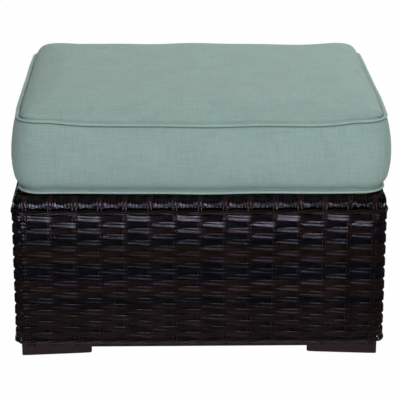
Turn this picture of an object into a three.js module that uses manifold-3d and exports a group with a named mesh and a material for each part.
// Outdoor ottoman: a box of woven resin wicker on a metal frame, with a loose box cushion on top.
// Millimetres, +Z up, +X to the right and -Y towards somebody who stands in front of it.
// The origin lies on the ground, at the middle of the plan.

import * as THREE from 'three';
import { mergeVertices } from 'three/addons/utils/BufferGeometryUtils.js';
import Module from 'manifold-3d';

const wasm = await Module();
wasm.setup();

// Driving sizes of the wicker base, over the outer face of the weave
const base_width = 686;
const base_depth = 559;
const corner_radius = 20;
const seat_height = 317.5;

// Clear space between pieces that touch on the real thing, and how far joined solids run into each other
const seat_gap = 0.3;
const join_overrun = 2;

// Feet and glides
const glide_height = 3;
const glide_margin = 8;
const foot_height = 17;
const foot_length = 130;
const foot_corner_round = 5;
const foot_turn_in = THREE.MathUtils.degToRad(5);
const foot_end_splay = THREE.MathUtils.degToRad(4);

// Metal frame inside the weave
const post_size = 25;
const post_round = 6;
const bottom_rail_size = 25;
const slat_count = 4;
const slat_width = 38;
const slat_height = 20;

// Stakes: pairs of upright rods that the strands weave round
const stakes_across = 15;
const stakes_deep = 12;
const corner_run = 5;
const rod_diameter = 4;
const rod_spread = 4.5;
const stake_drop = 1;

// Strands that weave in and out of the stakes, one for each row
const row_count = 21;
const strand_thickness = 1.8;
const row_gap = 0.9;
const weave_clearance = 0.8;

// Wales: three rods twisted together round the top and the bottom of the weave
const wale_rods = 3;
const wale_rod_width = 4;
const wale_rod_height = 3.2;
const wale_rise = 7.2;
const wale_clearance = 0.7;
const wale_lift = 9;
const wale_row_gap = 1.2;

// Rolled border over the top rail
const border_height = 23.5;
const border_depth = 16;
const border_proud = 1.5;
const border_scallop = 1.5;
const border_wale_gap = 2;
const top_rail_height = 25;
const top_rail_width = 25;

// Cushion: sizes of its seams, its fabric, and how far it swells and draws in
const cushion_width = 668;
const cushion_depth = 535;
const cushion_corner_radius = 35;
const cushion_lower_seam_rise = 2.8;
const cushion_side_height = 127;
const cushion_crown = 36;
const cushion_side_swell = 14;
const cushion_draw_in = 5;
const cushion_ear_rise = 8;
const cushion_bottom_narrowing = 5;
const fabric_thickness = 1.5;
const foam_clearance = 0.6;
const welt_diameter = 5;

// Zip across the back of the cushion
const zip_length = 440;
const zip_end_margin = 28;
const zip_chain_height = 6;
const zip_chain_thickness = 1.4;
const slider_length = 14;
const slider_height = 10;
const slider_thickness = 2.2;
const bridge_length = 9;
const bridge_width = 2;
const bridge_bar = 1.2;
const bridge_window = 2.2;
const pull_length = 26;
const pull_height = 7;
const pull_thickness = 1.2;
const pull_arm = 1.8;
const pull_end = 1.4;

// Heights, from the ground up
const foot_bottom = glide_height + seat_gap;
const frame_bottom = foot_bottom + foot_height + seat_gap;
const border_bottom = seat_height - border_height;
const wale_half_height = (wale_rise + wale_rod_height) / 2;
const bottom_wale_height = frame_bottom + wale_lift + wale_half_height;
const top_wale_height = border_bottom - border_wale_gap - wale_half_height;
const weave_bottom = bottom_wale_height + wale_half_height + wale_row_gap;
const weave_top = top_wale_height - wale_half_height - wale_row_gap;
const row_pitch = (weave_top - weave_bottom) / row_count;
const strand_height = row_pitch - row_gap;

// How far a strand or a rod swings in and out of the line of the stakes, and where that line stands
const strand_swing = (rod_diameter + strand_thickness) / 2 + weave_clearance;
const wale_swing = (rod_diameter + wale_rod_width) / 2 + wale_clearance;
const stake_line = strand_swing + strand_thickness / 2;

const half_width = base_width / 2;
const half_depth = base_depth / 2;
const run_across = half_width - corner_radius;
const run_deep = half_depth - corner_radius;

const wicker_black = { color: 0x17171b, roughness: 0.38, metalness: 0 };
const wicker_brown = { color: 0x2e1e1a, roughness: 0.38, metalness: 0 };
const frame_metal = { color: 0x33292a, roughness: 0.55, metalness: 0.3 };
const glide_plastic = { color: 0x1b1a1a, roughness: 0.6, metalness: 0 };
const cushion_fabric = { color: 0x8ea59e, roughness: 0.95, metalness: 0 };
const welt_fabric = { color: 0x94aba4, roughness: 0.95, metalness: 0 };
const foam_white = { color: 0xe6e2d6, roughness: 1, metalness: 0 };
const zip_coil = { color: 0x5f7069, roughness: 0.6, metalness: 0 };
const zip_metal = { color: 0xa8aaab, roughness: 0.35, metalness: 0.9 };

const ottoman = new THREE.Group();

function addPart(name, geometry, finish) {
  const mesh = new THREE.Mesh(geometry, new THREE.MeshStandardMaterial(finish));
  mesh.name = name;
  ottoman.add(mesh);
  return mesh;
}

// Skins made of rings of points

function geometryFrom(points, triangles) {
  const positions = points.flatMap((point) => [point.x, point.y, point.z]);
  const geometry = new THREE.BufferGeometry();
  geometry.setAttribute('position', new THREE.Float32BufferAttribute(positions, 3));
  geometry.setIndex(triangles);
  geometry.computeVertexNormals();
  return geometry;
}

// Two triangles for each place round the band between one ring and the next
function bandTriangles(first, second, size) {
  const triangles = [];
  for (let j = 0; j < size; j += 1) {
    const next = (j + 1) % size;
    triangles.push(first + j, second + j, second + next);
    triangles.push(first + j, second + next, first + next);
  }
  return triangles;
}

// Sections that follow one another round a loop and close on the first
function loopSkin(sections) {
  const size = sections[0].length;
  const triangles = [];
  sections.forEach((section, i) => {
    const next = (i + 1) % sections.length;
    triangles.push(...bandTriangles(i * size, next * size, size));
  });
  return geometryFrom(sections.flat(), triangles);
}

// Sections that follow one another along a run, with a flat cap of the outline at each end
function runSkin(sections, outline) {
  const size = outline.length;
  const last = (sections.length - 1) * size;
  const triangles = [];
  for (let i = 0; i + 1 < sections.length; i += 1) {
    triangles.push(...bandTriangles(i * size, (i + 1) * size, size));
  }
  for (const [a, b, c] of THREE.ShapeUtils.triangulateShape(outline, [])) {
    triangles.push(a, b, c);
    triangles.push(last + a, last + c, last + b);
  }
  return geometryFrom(sections.flat(), triangles);
}

// Level rings that open out from one middle point and close on another
function domeSkin(first_point, rings, last_point) {
  const size = rings[0].length;
  const points = [first_point, ...rings.flat(), last_point];
  const triangles = [];
  const last_ring = 1 + (rings.length - 1) * size;
  for (let j = 0; j < size; j += 1) {
    const next = (j + 1) % size;
    triangles.push(0, 1 + j, 1 + next);
    triangles.push(points.length - 1, last_ring + next, last_ring + j);
  }
  for (let k = 0; k + 1 < rings.length; k += 1) {
    triangles.push(...bandTriangles(1 + k * size, 1 + (k + 1) * size, size));
  }
  return geometryFrom(points, triangles);
}

// Joining closed solids

function solidOf(geometry) {
  const bare = geometry.clone();
  bare.deleteAttribute('normal');
  bare.deleteAttribute('uv');
  const merged = mergeVertices(bare);
  return new wasm.Manifold(new wasm.Mesh({
    numProp: 3,
    vertProperties: new Float32Array(merged.attributes.position.array),
    triVerts: new Uint32Array(merged.index.array),
  }));
}

function joined(geometries) {
  const whole = geometries.map(solidOf).reduce((sum, solid) => sum.add(solid));
  const mesh = whole.getMesh();
  const geometry = new THREE.BufferGeometry();
  geometry.setAttribute('position', new THREE.BufferAttribute(mesh.vertProperties, 3));
  geometry.setIndex(new THREE.BufferAttribute(mesh.triVerts, 1));
  geometry.computeVertexNormals();
  return geometry;
}

// A box between two corners
function boxBetween(low, high) {
  const size = new THREE.Vector3().subVectors(high, low);
  const middle = new THREE.Vector3().addVectors(low, high).divideScalar(2);
  return new THREE.BoxGeometry(size.x, size.y, size.z).translate(middle.x, middle.y, middle.z);
}

// The walk round the base: anticlockwise seen from above, starting at the front left

const side_walks = [
  { name: 'front', start: [-run_across, -half_depth], end: [run_across, -half_depth], out: [0, -1], stakes: stakes_across },
  { name: 'right', start: [half_width, -run_deep], end: [half_width, run_deep], out: [1, 0], stakes: stakes_deep },
  { name: 'back', start: [run_across, half_depth], end: [-run_across, half_depth], out: [0, 1], stakes: stakes_across },
  { name: 'left', start: [-half_width, run_deep], end: [-half_width, -run_deep], out: [-1, 0], stakes: stakes_deep },
];

// A place on the outer face of the weave, part of the way along the straight of a side
function placeOnSide(side, share) {
  const x = THREE.MathUtils.lerp(side.start[0], side.end[0], share);
  const y = THREE.MathUtils.lerp(side.start[1], side.end[1], share);
  return { x, y, out: new THREE.Vector2(...side.out) };
}

// A place on the rounded corner that follows a side, turned by an angle from that side
function placeOnCorner(side, angle, radius) {
  const out = new THREE.Vector2(...side.out);
  const centre_x = side.end[0] - out.x * corner_radius;
  const centre_y = side.end[1] - out.y * corner_radius;
  const turned = out.rotateAround(new THREE.Vector2(), angle);
  return { x: centre_x + turned.x * radius, y: centre_y + turned.y * radius, out: turned };
}

// A point at a distance outside that place, at a height
function pointAt(place, outward, height) {
  return new THREE.Vector3(place.x + place.out.x * outward, place.y + place.out.y * outward, height);
}

// The first and last stakes of a side stand a little way in from the corners' arcs
function stakePlace(side, index) {
  const length = Math.hypot(side.end[0] - side.start[0], side.end[1] - side.start[1]);
  const margin_share = corner_run / length;
  return placeOnSide(side, THREE.MathUtils.lerp(margin_share, 1 - margin_share, index / (side.stakes - 1)));
}

// A strand turns each corner in two bends, at these shares of the corner's angle
const corner_turn = Math.PI / 2;
const bend_shares = [1 / 4, 3 / 4];

// Every stake in order, with the corner's two bends between the last stake of a side and the next side's first
function weavePlaces() {
  const places = [];
  let stake = 0;
  for (const side of side_walks) {
    for (let i = 0; i < side.stakes; i += 1) {
      places.push({ ...stakePlace(side, i), stake, share: 0 });
      stake += 1;
    }
    for (const share of bend_shares) {
      places.push({ ...placeOnCorner(side, corner_turn * share, corner_radius), stake: stake - 1, share });
    }
  }
  return places;
}

const weave_places = weavePlaces();
const stake_count = 2 * (stakes_across + stakes_deep);

// The swing and rise at each place: as given at a stake, and part of the way to the next stake's in a corner
function alongWeave(atStake) {
  return weave_places.map((place) => {
    const here = atStake(place.stake);
    const next = atStake((place.stake + 1) % stake_count);
    return {
      swing: THREE.MathUtils.lerp(here.swing, next.swing, place.share),
      rise: THREE.MathUtils.lerp(here.rise, next.rise, place.share),
    };
  });
}

// A closed strand or rod: its section carried round the base, swinging in and out of the line of stakes
function wovenLoop(section, height, atStake) {
  const values = alongWeave(atStake);
  const sections = weave_places.map((place, i) => section.map((corner) => (
    pointAt(place, values[i].swing - stake_line + corner.x, height + values[i].rise + corner.y)
  )));
  return loopSkin(sections);
}

// One row of the weave: outside one stake and inside the next, the other way about in the next row
const strand_section = [
  new THREE.Vector2(strand_thickness / 2, -strand_height / 2),
  new THREE.Vector2(strand_thickness / 2, strand_height / 2),
  new THREE.Vector2(-strand_thickness / 2, strand_height / 2),
  new THREE.Vector2(-strand_thickness / 2, -strand_height / 2),
];

function weaverRow(row) {
  const height = weave_bottom + row_pitch * (row + 1 / 2);
  return wovenLoop(strand_section, height, (stake) => {
    const outside = (stake + row) % 2 === 0;
    return { swing: outside ? strand_swing : -strand_swing, rise: 0 };
  });
}

// Rows from the top down that are woven in brown; the others are black
const brown_rows = [3, 6, 7, 8, 12, 13, 14, 17, 18, 19, 21];

for (let row = 0; row < row_count; row += 1) {
  const from_top = row_count - row;
  const finish = brown_rows.includes(from_top) ? wicker_brown : wicker_black;
  addPart(`weaver_row_${String(from_top).padStart(2, '0')}`, weaverRow(row), finish);
}

// One rod of a wale: behind one stake, then in front of two while it climbs
const wale_section = [
  new THREE.Vector2(wale_rod_width / 2, 0),
  new THREE.Vector2(0, wale_rod_height / 2),
  new THREE.Vector2(-wale_rod_width / 2, 0),
  new THREE.Vector2(0, -wale_rod_height / 2),
];

function waleRod(height, rod) {
  const steps = [
    { swing: -wale_swing, rise: 0 },
    { swing: wale_swing, rise: -wale_rise / 2 },
    { swing: wale_swing, rise: wale_rise / 2 },
  ];
  return wovenLoop(wale_section, height, (stake) => steps[(stake + rod) % wale_rods]);
}

for (let rod = 0; rod < wale_rods; rod += 1) {
  const finish = rod === 0 ? wicker_brown : wicker_black;
  addPart(`top_wale_rod_${rod + 1}`, waleRod(top_wale_height, rod), finish);
  addPart(`bottom_wale_rod_${rod + 1}`, waleRod(bottom_wale_height, rod), finish);
}

// Outline of a stake: two rods side by side, each with three outer corners, and a waist between them
function stakeOutline() {
  const rod_radius = rod_diameter / 2;
  const lobe_angle = Math.PI / 3;
  const side_reach = rod_spread / 2 + rod_radius;
  const shoulder = rod_spread / 2 + rod_radius * Math.cos(lobe_angle);
  const shoulder_depth = rod_radius * Math.sin(lobe_angle);
  const waist_depth = shoulder_depth / 2;
  return new THREE.Shape([
    new THREE.Vector2(side_reach, 0),
    new THREE.Vector2(shoulder, shoulder_depth),
    new THREE.Vector2(0, waist_depth),
    new THREE.Vector2(-shoulder, shoulder_depth),
    new THREE.Vector2(-side_reach, 0),
    new THREE.Vector2(-shoulder, -shoulder_depth),
    new THREE.Vector2(0, -waist_depth),
    new THREE.Vector2(shoulder, -shoulder_depth),
  ]);
}

const stake_bottom = frame_bottom + stake_drop;
const stake_shape = stakeOutline();

function stakeAt(place) {
  const depth = border_bottom + join_overrun - stake_bottom;
  const geometry = new THREE.ExtrudeGeometry(stake_shape, { depth, bevelEnabled: false });
  const along_side = Math.atan2(place.out.y, place.out.x) + Math.PI / 2;
  const foot = pointAt(place, -stake_line, stake_bottom);
  return geometry.rotateZ(along_side).translate(foot.x, foot.y, foot.z);
}

// Outline of the rolled border, outward and up: flat underneath, with a round shoulder that runs in to the top
const border_face_share = 0.3;
const border_outline_shares = [[-1, 0], [0, 0], [0, border_face_share], [-0.14, 0.62], [-0.5, 0.92], [-1, 1]];

function borderOutline(scallop) {
  return border_outline_shares.map(([in_share, up_share]) => {
    const bulge = in_share === 0 ? border_proud + scallop * up_share / border_face_share : 0;
    return new THREE.Vector2(in_share * border_depth + bulge, up_share * border_height);
  });
}

// Places along the border of one side, from the middle of one corner to the middle of the next
function borderPlaces(side) {
  const previous = side_walks[(side_walks.indexOf(side) + side_walks.length - 1) % side_walks.length];
  const places = [];
  const mitre = seat_gap / 2;
  const first = placeOnCorner(previous, corner_turn / 2, corner_radius);
  const last = placeOnCorner(side, corner_turn / 2, corner_radius);
  places.push({ ...first, x: first.x - first.out.y * mitre, y: first.y + first.out.x * mitre, scallop: 0 });
  places.push({ ...placeOnCorner(previous, corner_turn * 3 / 4, corner_radius), scallop: 0 });
  for (let i = 0; i < side.stakes * 2 - 1; i += 1) {
    places.push({ ...stakePlace(side, i / 2), scallop: i % 2 === 1 ? border_scallop : 0 });
  }
  places.push({ ...placeOnCorner(side, corner_turn / 4, corner_radius), scallop: 0 });
  places.push({ ...last, x: last.x + last.out.y * mitre, y: last.y - last.out.x * mitre, scallop: 0 });
  return places;
}

function rolledBorder(side) {
  const sections = borderPlaces(side).map((place) => borderOutline(place.scallop).map((corner) => (
    pointAt(place, corner.x, border_bottom + corner.y)
  )));
  return runSkin(sections, borderOutline(0));
}

// The rail under the border: between the corners at front and back, and between those two rails at the sides
const rail_outer = border_depth - join_overrun / 2;
const rail_inner = rail_outer + top_rail_width;

function topRail(side) {
  const across = side.out[0] === 0;
  const half_run = across ? run_across : half_depth - rail_inner - seat_gap;
  const wall = across ? half_depth : half_width;
  const sign = across ? side.out[1] : side.out[0];
  const near = Math.min(sign * (wall - rail_inner), sign * (wall - rail_outer));
  const far = Math.max(sign * (wall - rail_inner), sign * (wall - rail_outer));
  const floor = seat_height - top_rail_height;
  const low = across ? new THREE.Vector3(-half_run, near, floor) : new THREE.Vector3(near, -half_run, floor);
  const high = across ? new THREE.Vector3(half_run, far, seat_height) : new THREE.Vector3(far, half_run, seat_height);
  return boxBetween(low, high);
}

for (const side of side_walks) {
  const stakes = [];
  for (let i = 0; i < side.stakes; i += 1) {
    stakes.push(stakeAt(stakePlace(side, i)));
  }
  addPart(`${side.name}_border_and_stakes`, joined([rolledBorder(side), topRail(side), ...stakes]), wicker_brown);
}

// Metal frame, just inside the wales: a post in each corner, and a rail between each two posts at the bottom

const frame_inset = stake_line + wale_swing + wale_rod_width / 2 + seat_gap;
const frame_outer_x = half_width - frame_inset;
const frame_outer_y = half_depth - frame_inset;
const post_x = frame_outer_x - post_size / 2;
const post_y = frame_outer_y - post_size / 2;
const corners = [
  { name: 'front_left', x: -1, y: -1 },
  { name: 'front_right', x: 1, y: -1 },
  { name: 'back_right', x: 1, y: 1 },
  { name: 'back_left', x: -1, y: 1 },
];

// A square with its corners rounded
function roundedSquare(size, round) {
  const half = size / 2;
  const shape = new THREE.Shape();
  shape.moveTo(half - round, -half);
  shape.quadraticCurveTo(half, -half, half, -half + round);
  shape.lineTo(half, half - round);
  shape.quadraticCurveTo(half, half, half - round, half);
  shape.lineTo(-half + round, half);
  shape.quadraticCurveTo(-half, half, -half, half - round);
  shape.lineTo(-half, -half + round);
  shape.quadraticCurveTo(-half, -half, -half + round, -half);
  return shape;
}

function upright(shape, low, high) {
  const settings = { depth: high - low, bevelEnabled: false, curveSegments: 3 };
  return new THREE.ExtrudeGeometry(shape, settings).translate(0, 0, low);
}

const post_shape = roundedSquare(post_size, post_round);
const post_top = seat_height - top_rail_height - seat_gap;

for (const corner of corners) {
  const post = upright(post_shape, frame_bottom, post_top);
  addPart(`corner_post_${corner.name}`, post.translate(corner.x * post_x, corner.y * post_y, 0), frame_metal);
}

const bottom_rail_run_x = frame_outer_x - post_size - seat_gap;
const bottom_rail_run_y = frame_outer_y - post_size - seat_gap;

for (const sign of [-1, 1]) {
  const low_y = Math.min(sign * frame_outer_y, sign * (frame_outer_y - bottom_rail_size));
  const low_x = Math.min(sign * frame_outer_x, sign * (frame_outer_x - bottom_rail_size));
  const rail_across = boxBetween(
    new THREE.Vector3(-bottom_rail_run_x, low_y, frame_bottom),
    new THREE.Vector3(bottom_rail_run_x, low_y + bottom_rail_size, frame_bottom + bottom_rail_size),
  );
  const rail_deep = boxBetween(
    new THREE.Vector3(low_x, -bottom_rail_run_y, frame_bottom),
    new THREE.Vector3(low_x + bottom_rail_size, bottom_rail_run_y, frame_bottom + bottom_rail_size),
  );
  addPart(sign < 0 ? 'bottom_rail_front' : 'bottom_rail_back', rail_across, frame_metal);
  addPart(sign < 0 ? 'bottom_rail_left' : 'bottom_rail_right', rail_deep, frame_metal);
}

// Slats from the front rail to the back rail, level with the rails' tops
const slat_run = half_depth - rail_inner - seat_gap;
const slat_pitch = (2 * (half_width - rail_inner)) / (slat_count + 1);

for (let i = 0; i < slat_count; i += 1) {
  const middle = slat_pitch * (i - (slat_count - 1) / 2);
  const slat = boxBetween(
    new THREE.Vector3(middle - slat_width / 2, -slat_run, seat_height - slat_height),
    new THREE.Vector3(middle + slat_width / 2, slat_run, seat_height),
  );
  addPart(`seat_slat_${i + 1}`, slat, frame_metal);
}

// Feet: four-sided blocks under the corners. Their outer faces turn in a little from the base's sides,
// and their inner ends are splayed, so that the plan is a kite.
function kiteOutline() {
  const outer_end = new THREE.Vector2(Math.cos(foot_turn_in), Math.sin(foot_turn_in)).multiplyScalar(foot_length);
  const end_way = new THREE.Vector2(Math.sin(foot_end_splay), Math.cos(foot_end_splay));
  const reach = (outer_end.x - outer_end.y) / (end_way.y - end_way.x);
  const inner = outer_end.clone().addScaledVector(end_way, reach);
  return [
    new THREE.Vector2(0, 0),
    outer_end,
    inner,
    new THREE.Vector2(outer_end.y, outer_end.x),
  ];
}

// An outline with each corner rounded, given the straight corners in order
function roundedOutline(points, round) {
  const shape = new THREE.Shape();
  points.forEach((point, i) => {
    const before = points[(i + points.length - 1) % points.length];
    const after = points[(i + 1) % points.length];
    const start = point.clone().addScaledVector(before.clone().sub(point).normalize(), round);
    const end = point.clone().addScaledVector(after.clone().sub(point).normalize(), round);
    if (i === 0) {
      shape.moveTo(start.x, start.y);
    } else {
      shape.lineTo(start.x, start.y);
    }
    shape.quadraticCurveTo(point.x, point.y, end.x, end.y);
  });
  return shape;
}

const kite = kiteOutline();
const kite_middle = kite.reduce((sum, point) => sum.add(point), new THREE.Vector2()).divideScalar(kite.length);
const glide_share = (foot_length - 2 * glide_margin) / foot_length;
const glide_kite = kite.map((point) => kite_middle.clone().lerp(point, glide_share));

// A block of that plan at a corner, turned so that the kite's first point is at the frame's outer corner
function cornerBlock(corner, index, outline, low, high) {
  const block = upright(roundedOutline(outline, foot_corner_round), low, high);
  const turned = block.rotateZ(index * Math.PI / 2);
  return turned.translate(corner.x * frame_outer_x, corner.y * frame_outer_y, 0);
}

corners.forEach((corner, index) => {
  const foot = cornerBlock(corner, index, kite, foot_bottom, foot_bottom + foot_height);
  addPart(`foot_${corner.name}`, foot, frame_metal);
  addPart(`glide_${corner.name}`, cornerBlock(corner, index, glide_kite, 0, glide_height), glide_plastic);
});

// Cushion

const cushion_half_width = cushion_width / 2;
const cushion_half_depth = cushion_depth / 2;
const lower_seam = seat_height + seat_gap + cushion_lower_seam_rise;
const upper_seam = lower_seam + cushion_side_height;

// Tables of shares that shape the cushion. Along a side the seam draws in and drops from its raised corners.
const corner_angle_shares = [0, 1 / 3, 2 / 3, 1];
const corner_ear_shares = [0.8, 1, 1, 0.8];
const long_side_shares = [[0.08, 0.45], [0.33, 0.05], [0.67, 0.05], [0.92, 0.45]];
const short_side_shares = [[0.1, 0.45], [0.5, 0], [0.9, 0.45]];

// The back is drawn in alike for as long as its zip, so that the zip lies flat on it
const reach_x = cushion_half_width - cushion_corner_radius;
const reach_y = cushion_half_depth - cushion_corner_radius;
const zip_run_share = (zip_length / 2 + zip_end_margin) / (2 * reach_x);
const back_side_shares = [[0.5 - zip_run_share, 0.45], [0.33, 0.05], [0.67, 0.05], [0.5 + zip_run_share, 0.45]];

// Places round the cushion's seams, each with its share of the corner's rise
function cushionPlaces() {
  const walks = [
    { start: [-reach_x, -cushion_half_depth], end: [reach_x, -cushion_half_depth], out: [0, -1], shares: long_side_shares },
    { start: [cushion_half_width, -reach_y], end: [cushion_half_width, reach_y], out: [1, 0], shares: short_side_shares },
    { start: [reach_x, cushion_half_depth], end: [-reach_x, cushion_half_depth], out: [0, 1], shares: back_side_shares },
    { start: [-cushion_half_width, reach_y], end: [-cushion_half_width, -reach_y], out: [-1, 0], shares: short_side_shares },
  ];
  const places = [];
  for (const walk of walks) {
    for (const [share, ear] of walk.shares) {
      const place = placeOnSide(walk, share);
      place.x -= place.out.x * cushion_draw_in;
      place.y -= place.out.y * cushion_draw_in;
      places.push({ ...place, ear });
    }
    const centre_x = walk.end[0] - walk.out[0] * cushion_corner_radius;
    const centre_y = walk.end[1] - walk.out[1] * cushion_corner_radius;
    corner_angle_shares.forEach((angle_share, k) => {
      const out = new THREE.Vector2(...walk.out).rotateAround(new THREE.Vector2(), angle_share * Math.PI / 2);
      const x = centre_x + out.x * cushion_corner_radius;
      const y = centre_y + out.y * cushion_corner_radius;
      places.push({ x, y, out, ear: corner_ear_shares[k] });
    });
  }
  return places;
}

const cushion_places = cushionPlaces();

// Up the side: share of the height and share of the swell
const side_profile_shares = [[0, 0], [0.25, 0.72], [0.6, 1], [0.86, 0.66], [1, 0]];
// In from the seam over the top: share of the way out and share of the crown
const crown_profile_shares = [[0.4, 0.99], [0.7, 0.95], [0.86, 0.86], [0.95, 0.58], [1, 0]];
// The power of the share of the way out by which the corners' rise fades away over the top
const ear_fade_power = 12;

// The bottom seam lies a little inside the top one
function narrowingAt(up_share) {
  return cushion_bottom_narrowing * (1 - up_share);
}

function seamRise(place) {
  return cushion_ear_rise * place.ear;
}

// A ring of points up the side of the cushion, moved in by a distance
function sideRing(up_share, swell_share, inset, bottom, top) {
  return cushion_places.map((place) => {
    const outward = cushion_side_swell * swell_share - narrowingAt(up_share) - inset;
    const ceiling = top + seamRise(place);
    return pointAt(place, outward, bottom + (ceiling - bottom) * up_share);
  });
}

// Rings over the top of the cushion, from the middle out to an edge that is moved in by a distance
function crownRings(inset, drop) {
  return crown_profile_shares.map(([out_share, crown_share]) => cushion_places.map((place) => {
    const edge = pointAt(place, -inset, upper_seam + seamRise(place) * out_share ** ear_fade_power - drop);
    edge.z += cushion_crown * crown_share;
    edge.x *= out_share;
    edge.y *= out_share;
    return edge;
  }));
}

const crown_top = upper_seam + cushion_crown;

// Fabric panels: the crowned top, and the flat bottom with its edge turned up to the seam
const top_panel_rings = [...crownRings(0, 0), ...crownRings(0, fabric_thickness).reverse()];
addPart('cushion_top_panel', domeSkin(
  new THREE.Vector3(0, 0, crown_top),
  top_panel_rings,
  new THREE.Vector3(0, 0, crown_top - fabric_thickness),
), cushion_fabric);

const cushion_floor = seat_height + seat_gap;
const flat_share = 0.93;

function floorRing(out_share, height) {
  return cushion_places.map((place) => {
    const point = pointAt(place, -narrowingAt(0), height);
    return new THREE.Vector3(point.x * out_share, point.y * out_share, height);
  });
}

addPart('cushion_bottom_panel', domeSkin(
  new THREE.Vector3(0, 0, cushion_floor + fabric_thickness),
  [
    floorRing(flat_share, cushion_floor + fabric_thickness),
    floorRing(1, lower_seam + fabric_thickness),
    floorRing(1, lower_seam),
    floorRing(flat_share, cushion_floor),
  ],
  new THREE.Vector3(0, 0, cushion_floor),
), cushion_fabric);

// Boxing: the band round the sides, between the two seams
const boxing_bottom = lower_seam + fabric_thickness + seat_gap;
const boxing_top = upper_seam - fabric_thickness - seat_gap;
const boxing_outside = side_profile_shares.map(([up, swell]) => sideRing(up, swell, 0, boxing_bottom, boxing_top));
const boxing_inside = side_profile_shares.map(([up, swell]) => (
  sideRing(up, swell, fabric_thickness, boxing_bottom, boxing_top)
));
const boxing_rings = [...boxing_outside, ...boxing_inside.reverse()];
const boxing_sections = cushion_places.map((place, i) => boxing_rings.map((ring) => ring[i]));
addPart('cushion_boxing', loopSkin(boxing_sections), cushion_fabric);

// Foam core, which fills the cover
const core_inset = fabric_thickness + foam_clearance;
const core_bottom = cushion_floor + fabric_thickness + foam_clearance;
const core_seam = upper_seam - fabric_thickness - foam_clearance;
const core_sides = side_profile_shares.slice(1, -1).map(([up, swell]) => (
  sideRing(up, swell, core_inset, boxing_bottom, boxing_top)
));
const core_floor = cushion_places.map((place) => {
  const point = pointAt(place, -narrowingAt(0) - core_inset, core_bottom);
  return new THREE.Vector3(point.x * flat_share, point.y * flat_share, core_bottom);
});
addPart('foam_core', domeSkin(
  new THREE.Vector3(0, 0, core_seam + cushion_crown),
  [...crownRings(core_inset, fabric_thickness + foam_clearance), ...core_sides.reverse(), core_floor],
  new THREE.Vector3(0, 0, core_bottom),
), foam_white);

// Welts: a cord in its own fabric along each seam
const welt_sides = 5;
const welt_radius = welt_diameter / 2;
const welt_outward = welt_radius + seat_gap * 2;

function welt(seam, narrowing, followsCorners) {
  const sections = cushion_places.map((place) => {
    const height = seam + (followsCorners ? seamRise(place) : 0);
    const section = [];
    for (let k = 0; k < welt_sides; k += 1) {
      const angle = (2 * Math.PI * k) / welt_sides;
      const outward = welt_outward - narrowing + welt_radius * Math.cos(angle);
      section.push(pointAt(place, outward, height + welt_radius * Math.sin(angle)));
    }
    return section;
  });
  return loopSkin(sections);
}

const top_welt_height = upper_seam - fabric_thickness / 2;
const bottom_welt_height = lower_seam + fabric_thickness / 2;
addPart('top_welt', welt(top_welt_height, 0, true), welt_fabric);
addPart('bottom_welt', welt(bottom_welt_height, cushion_bottom_narrowing, false), welt_fabric);

// Zip: its chain lies along the middle of the back, on the boxing where it swells most
const zip_up_share = 0.6;
const zip_height = boxing_bottom + (boxing_top - boxing_bottom) * zip_up_share;
const back_face = cushion_half_depth - cushion_draw_in - narrowingAt(zip_up_share) + cushion_side_swell;
const chain_inner = back_face + seat_gap;
const chain_outer = chain_inner + zip_chain_thickness;
addPart('zip_chain', boxBetween(
  new THREE.Vector3(-zip_length / 2, chain_inner, zip_height - zip_chain_height / 2),
  new THREE.Vector3(zip_length / 2, chain_outer, zip_height + zip_chain_height / 2),
), zip_coil);

// Slider at the closed end, with a bridge over the end bar of its pull
const slider_x = zip_length / 2 - slider_length / 2;
const plate_inner = chain_outer + seat_gap;
const plate_outer = plate_inner + slider_thickness;
const bar_inner = plate_outer + bridge_window;

function bridgeLeg(sign) {
  const middle = slider_x + sign * (bridge_length - bridge_bar) / 2;
  return boxBetween(
    new THREE.Vector3(middle - bridge_bar / 2, plate_outer - slider_thickness / 2, zip_height - bridge_width / 2),
    new THREE.Vector3(middle + bridge_bar / 2, bar_inner + bridge_bar, zip_height + bridge_width / 2),
  );
}

const slider_plate = boxBetween(
  new THREE.Vector3(slider_x - slider_length / 2, plate_inner, zip_height - slider_height / 2),
  new THREE.Vector3(slider_x + slider_length / 2, plate_outer, zip_height + slider_height / 2),
);
const bridge_top = boxBetween(
  new THREE.Vector3(slider_x - bridge_length / 2, bar_inner, zip_height - bridge_width / 2),
  new THREE.Vector3(slider_x + bridge_length / 2, bar_inner + bridge_bar, zip_height + bridge_width / 2),
);
addPart('zip_slider', joined([slider_plate, bridgeLeg(-1), bridgeLeg(1), bridge_top]), zip_metal);

// Pull: a tab whose end bar lies under the bridge, with an arm on each side of it
const pull_axis_y = plate_outer + bridge_window / 2;
const pull_shape = new THREE.Shape([
  new THREE.Vector2(pull_end / 2, -pull_height / 2),
  new THREE.Vector2(pull_end / 2, pull_height / 2),
  new THREE.Vector2(pull_end / 2 - pull_length, pull_height / 2),
  new THREE.Vector2(pull_end / 2 - pull_length, -pull_height / 2),
]);
pull_shape.holes.push(new THREE.Path([
  new THREE.Vector2(-pull_end / 2, -pull_height / 2 + pull_arm),
  new THREE.Vector2(-bridge_length, -pull_height / 2 + pull_arm),
  new THREE.Vector2(-bridge_length, pull_height / 2 - pull_arm),
  new THREE.Vector2(-pull_end / 2, pull_height / 2 - pull_arm),
]));
const pull = new THREE.ExtrudeGeometry(pull_shape, { depth: pull_thickness, bevelEnabled: false });
pull.translate(0, 0, -pull_thickness / 2);
pull.rotateX(Math.PI / 2);
addPart('zip_pull', pull.translate(slider_x, pull_axis_y, zip_height), zip_metal);

export default ottoman;
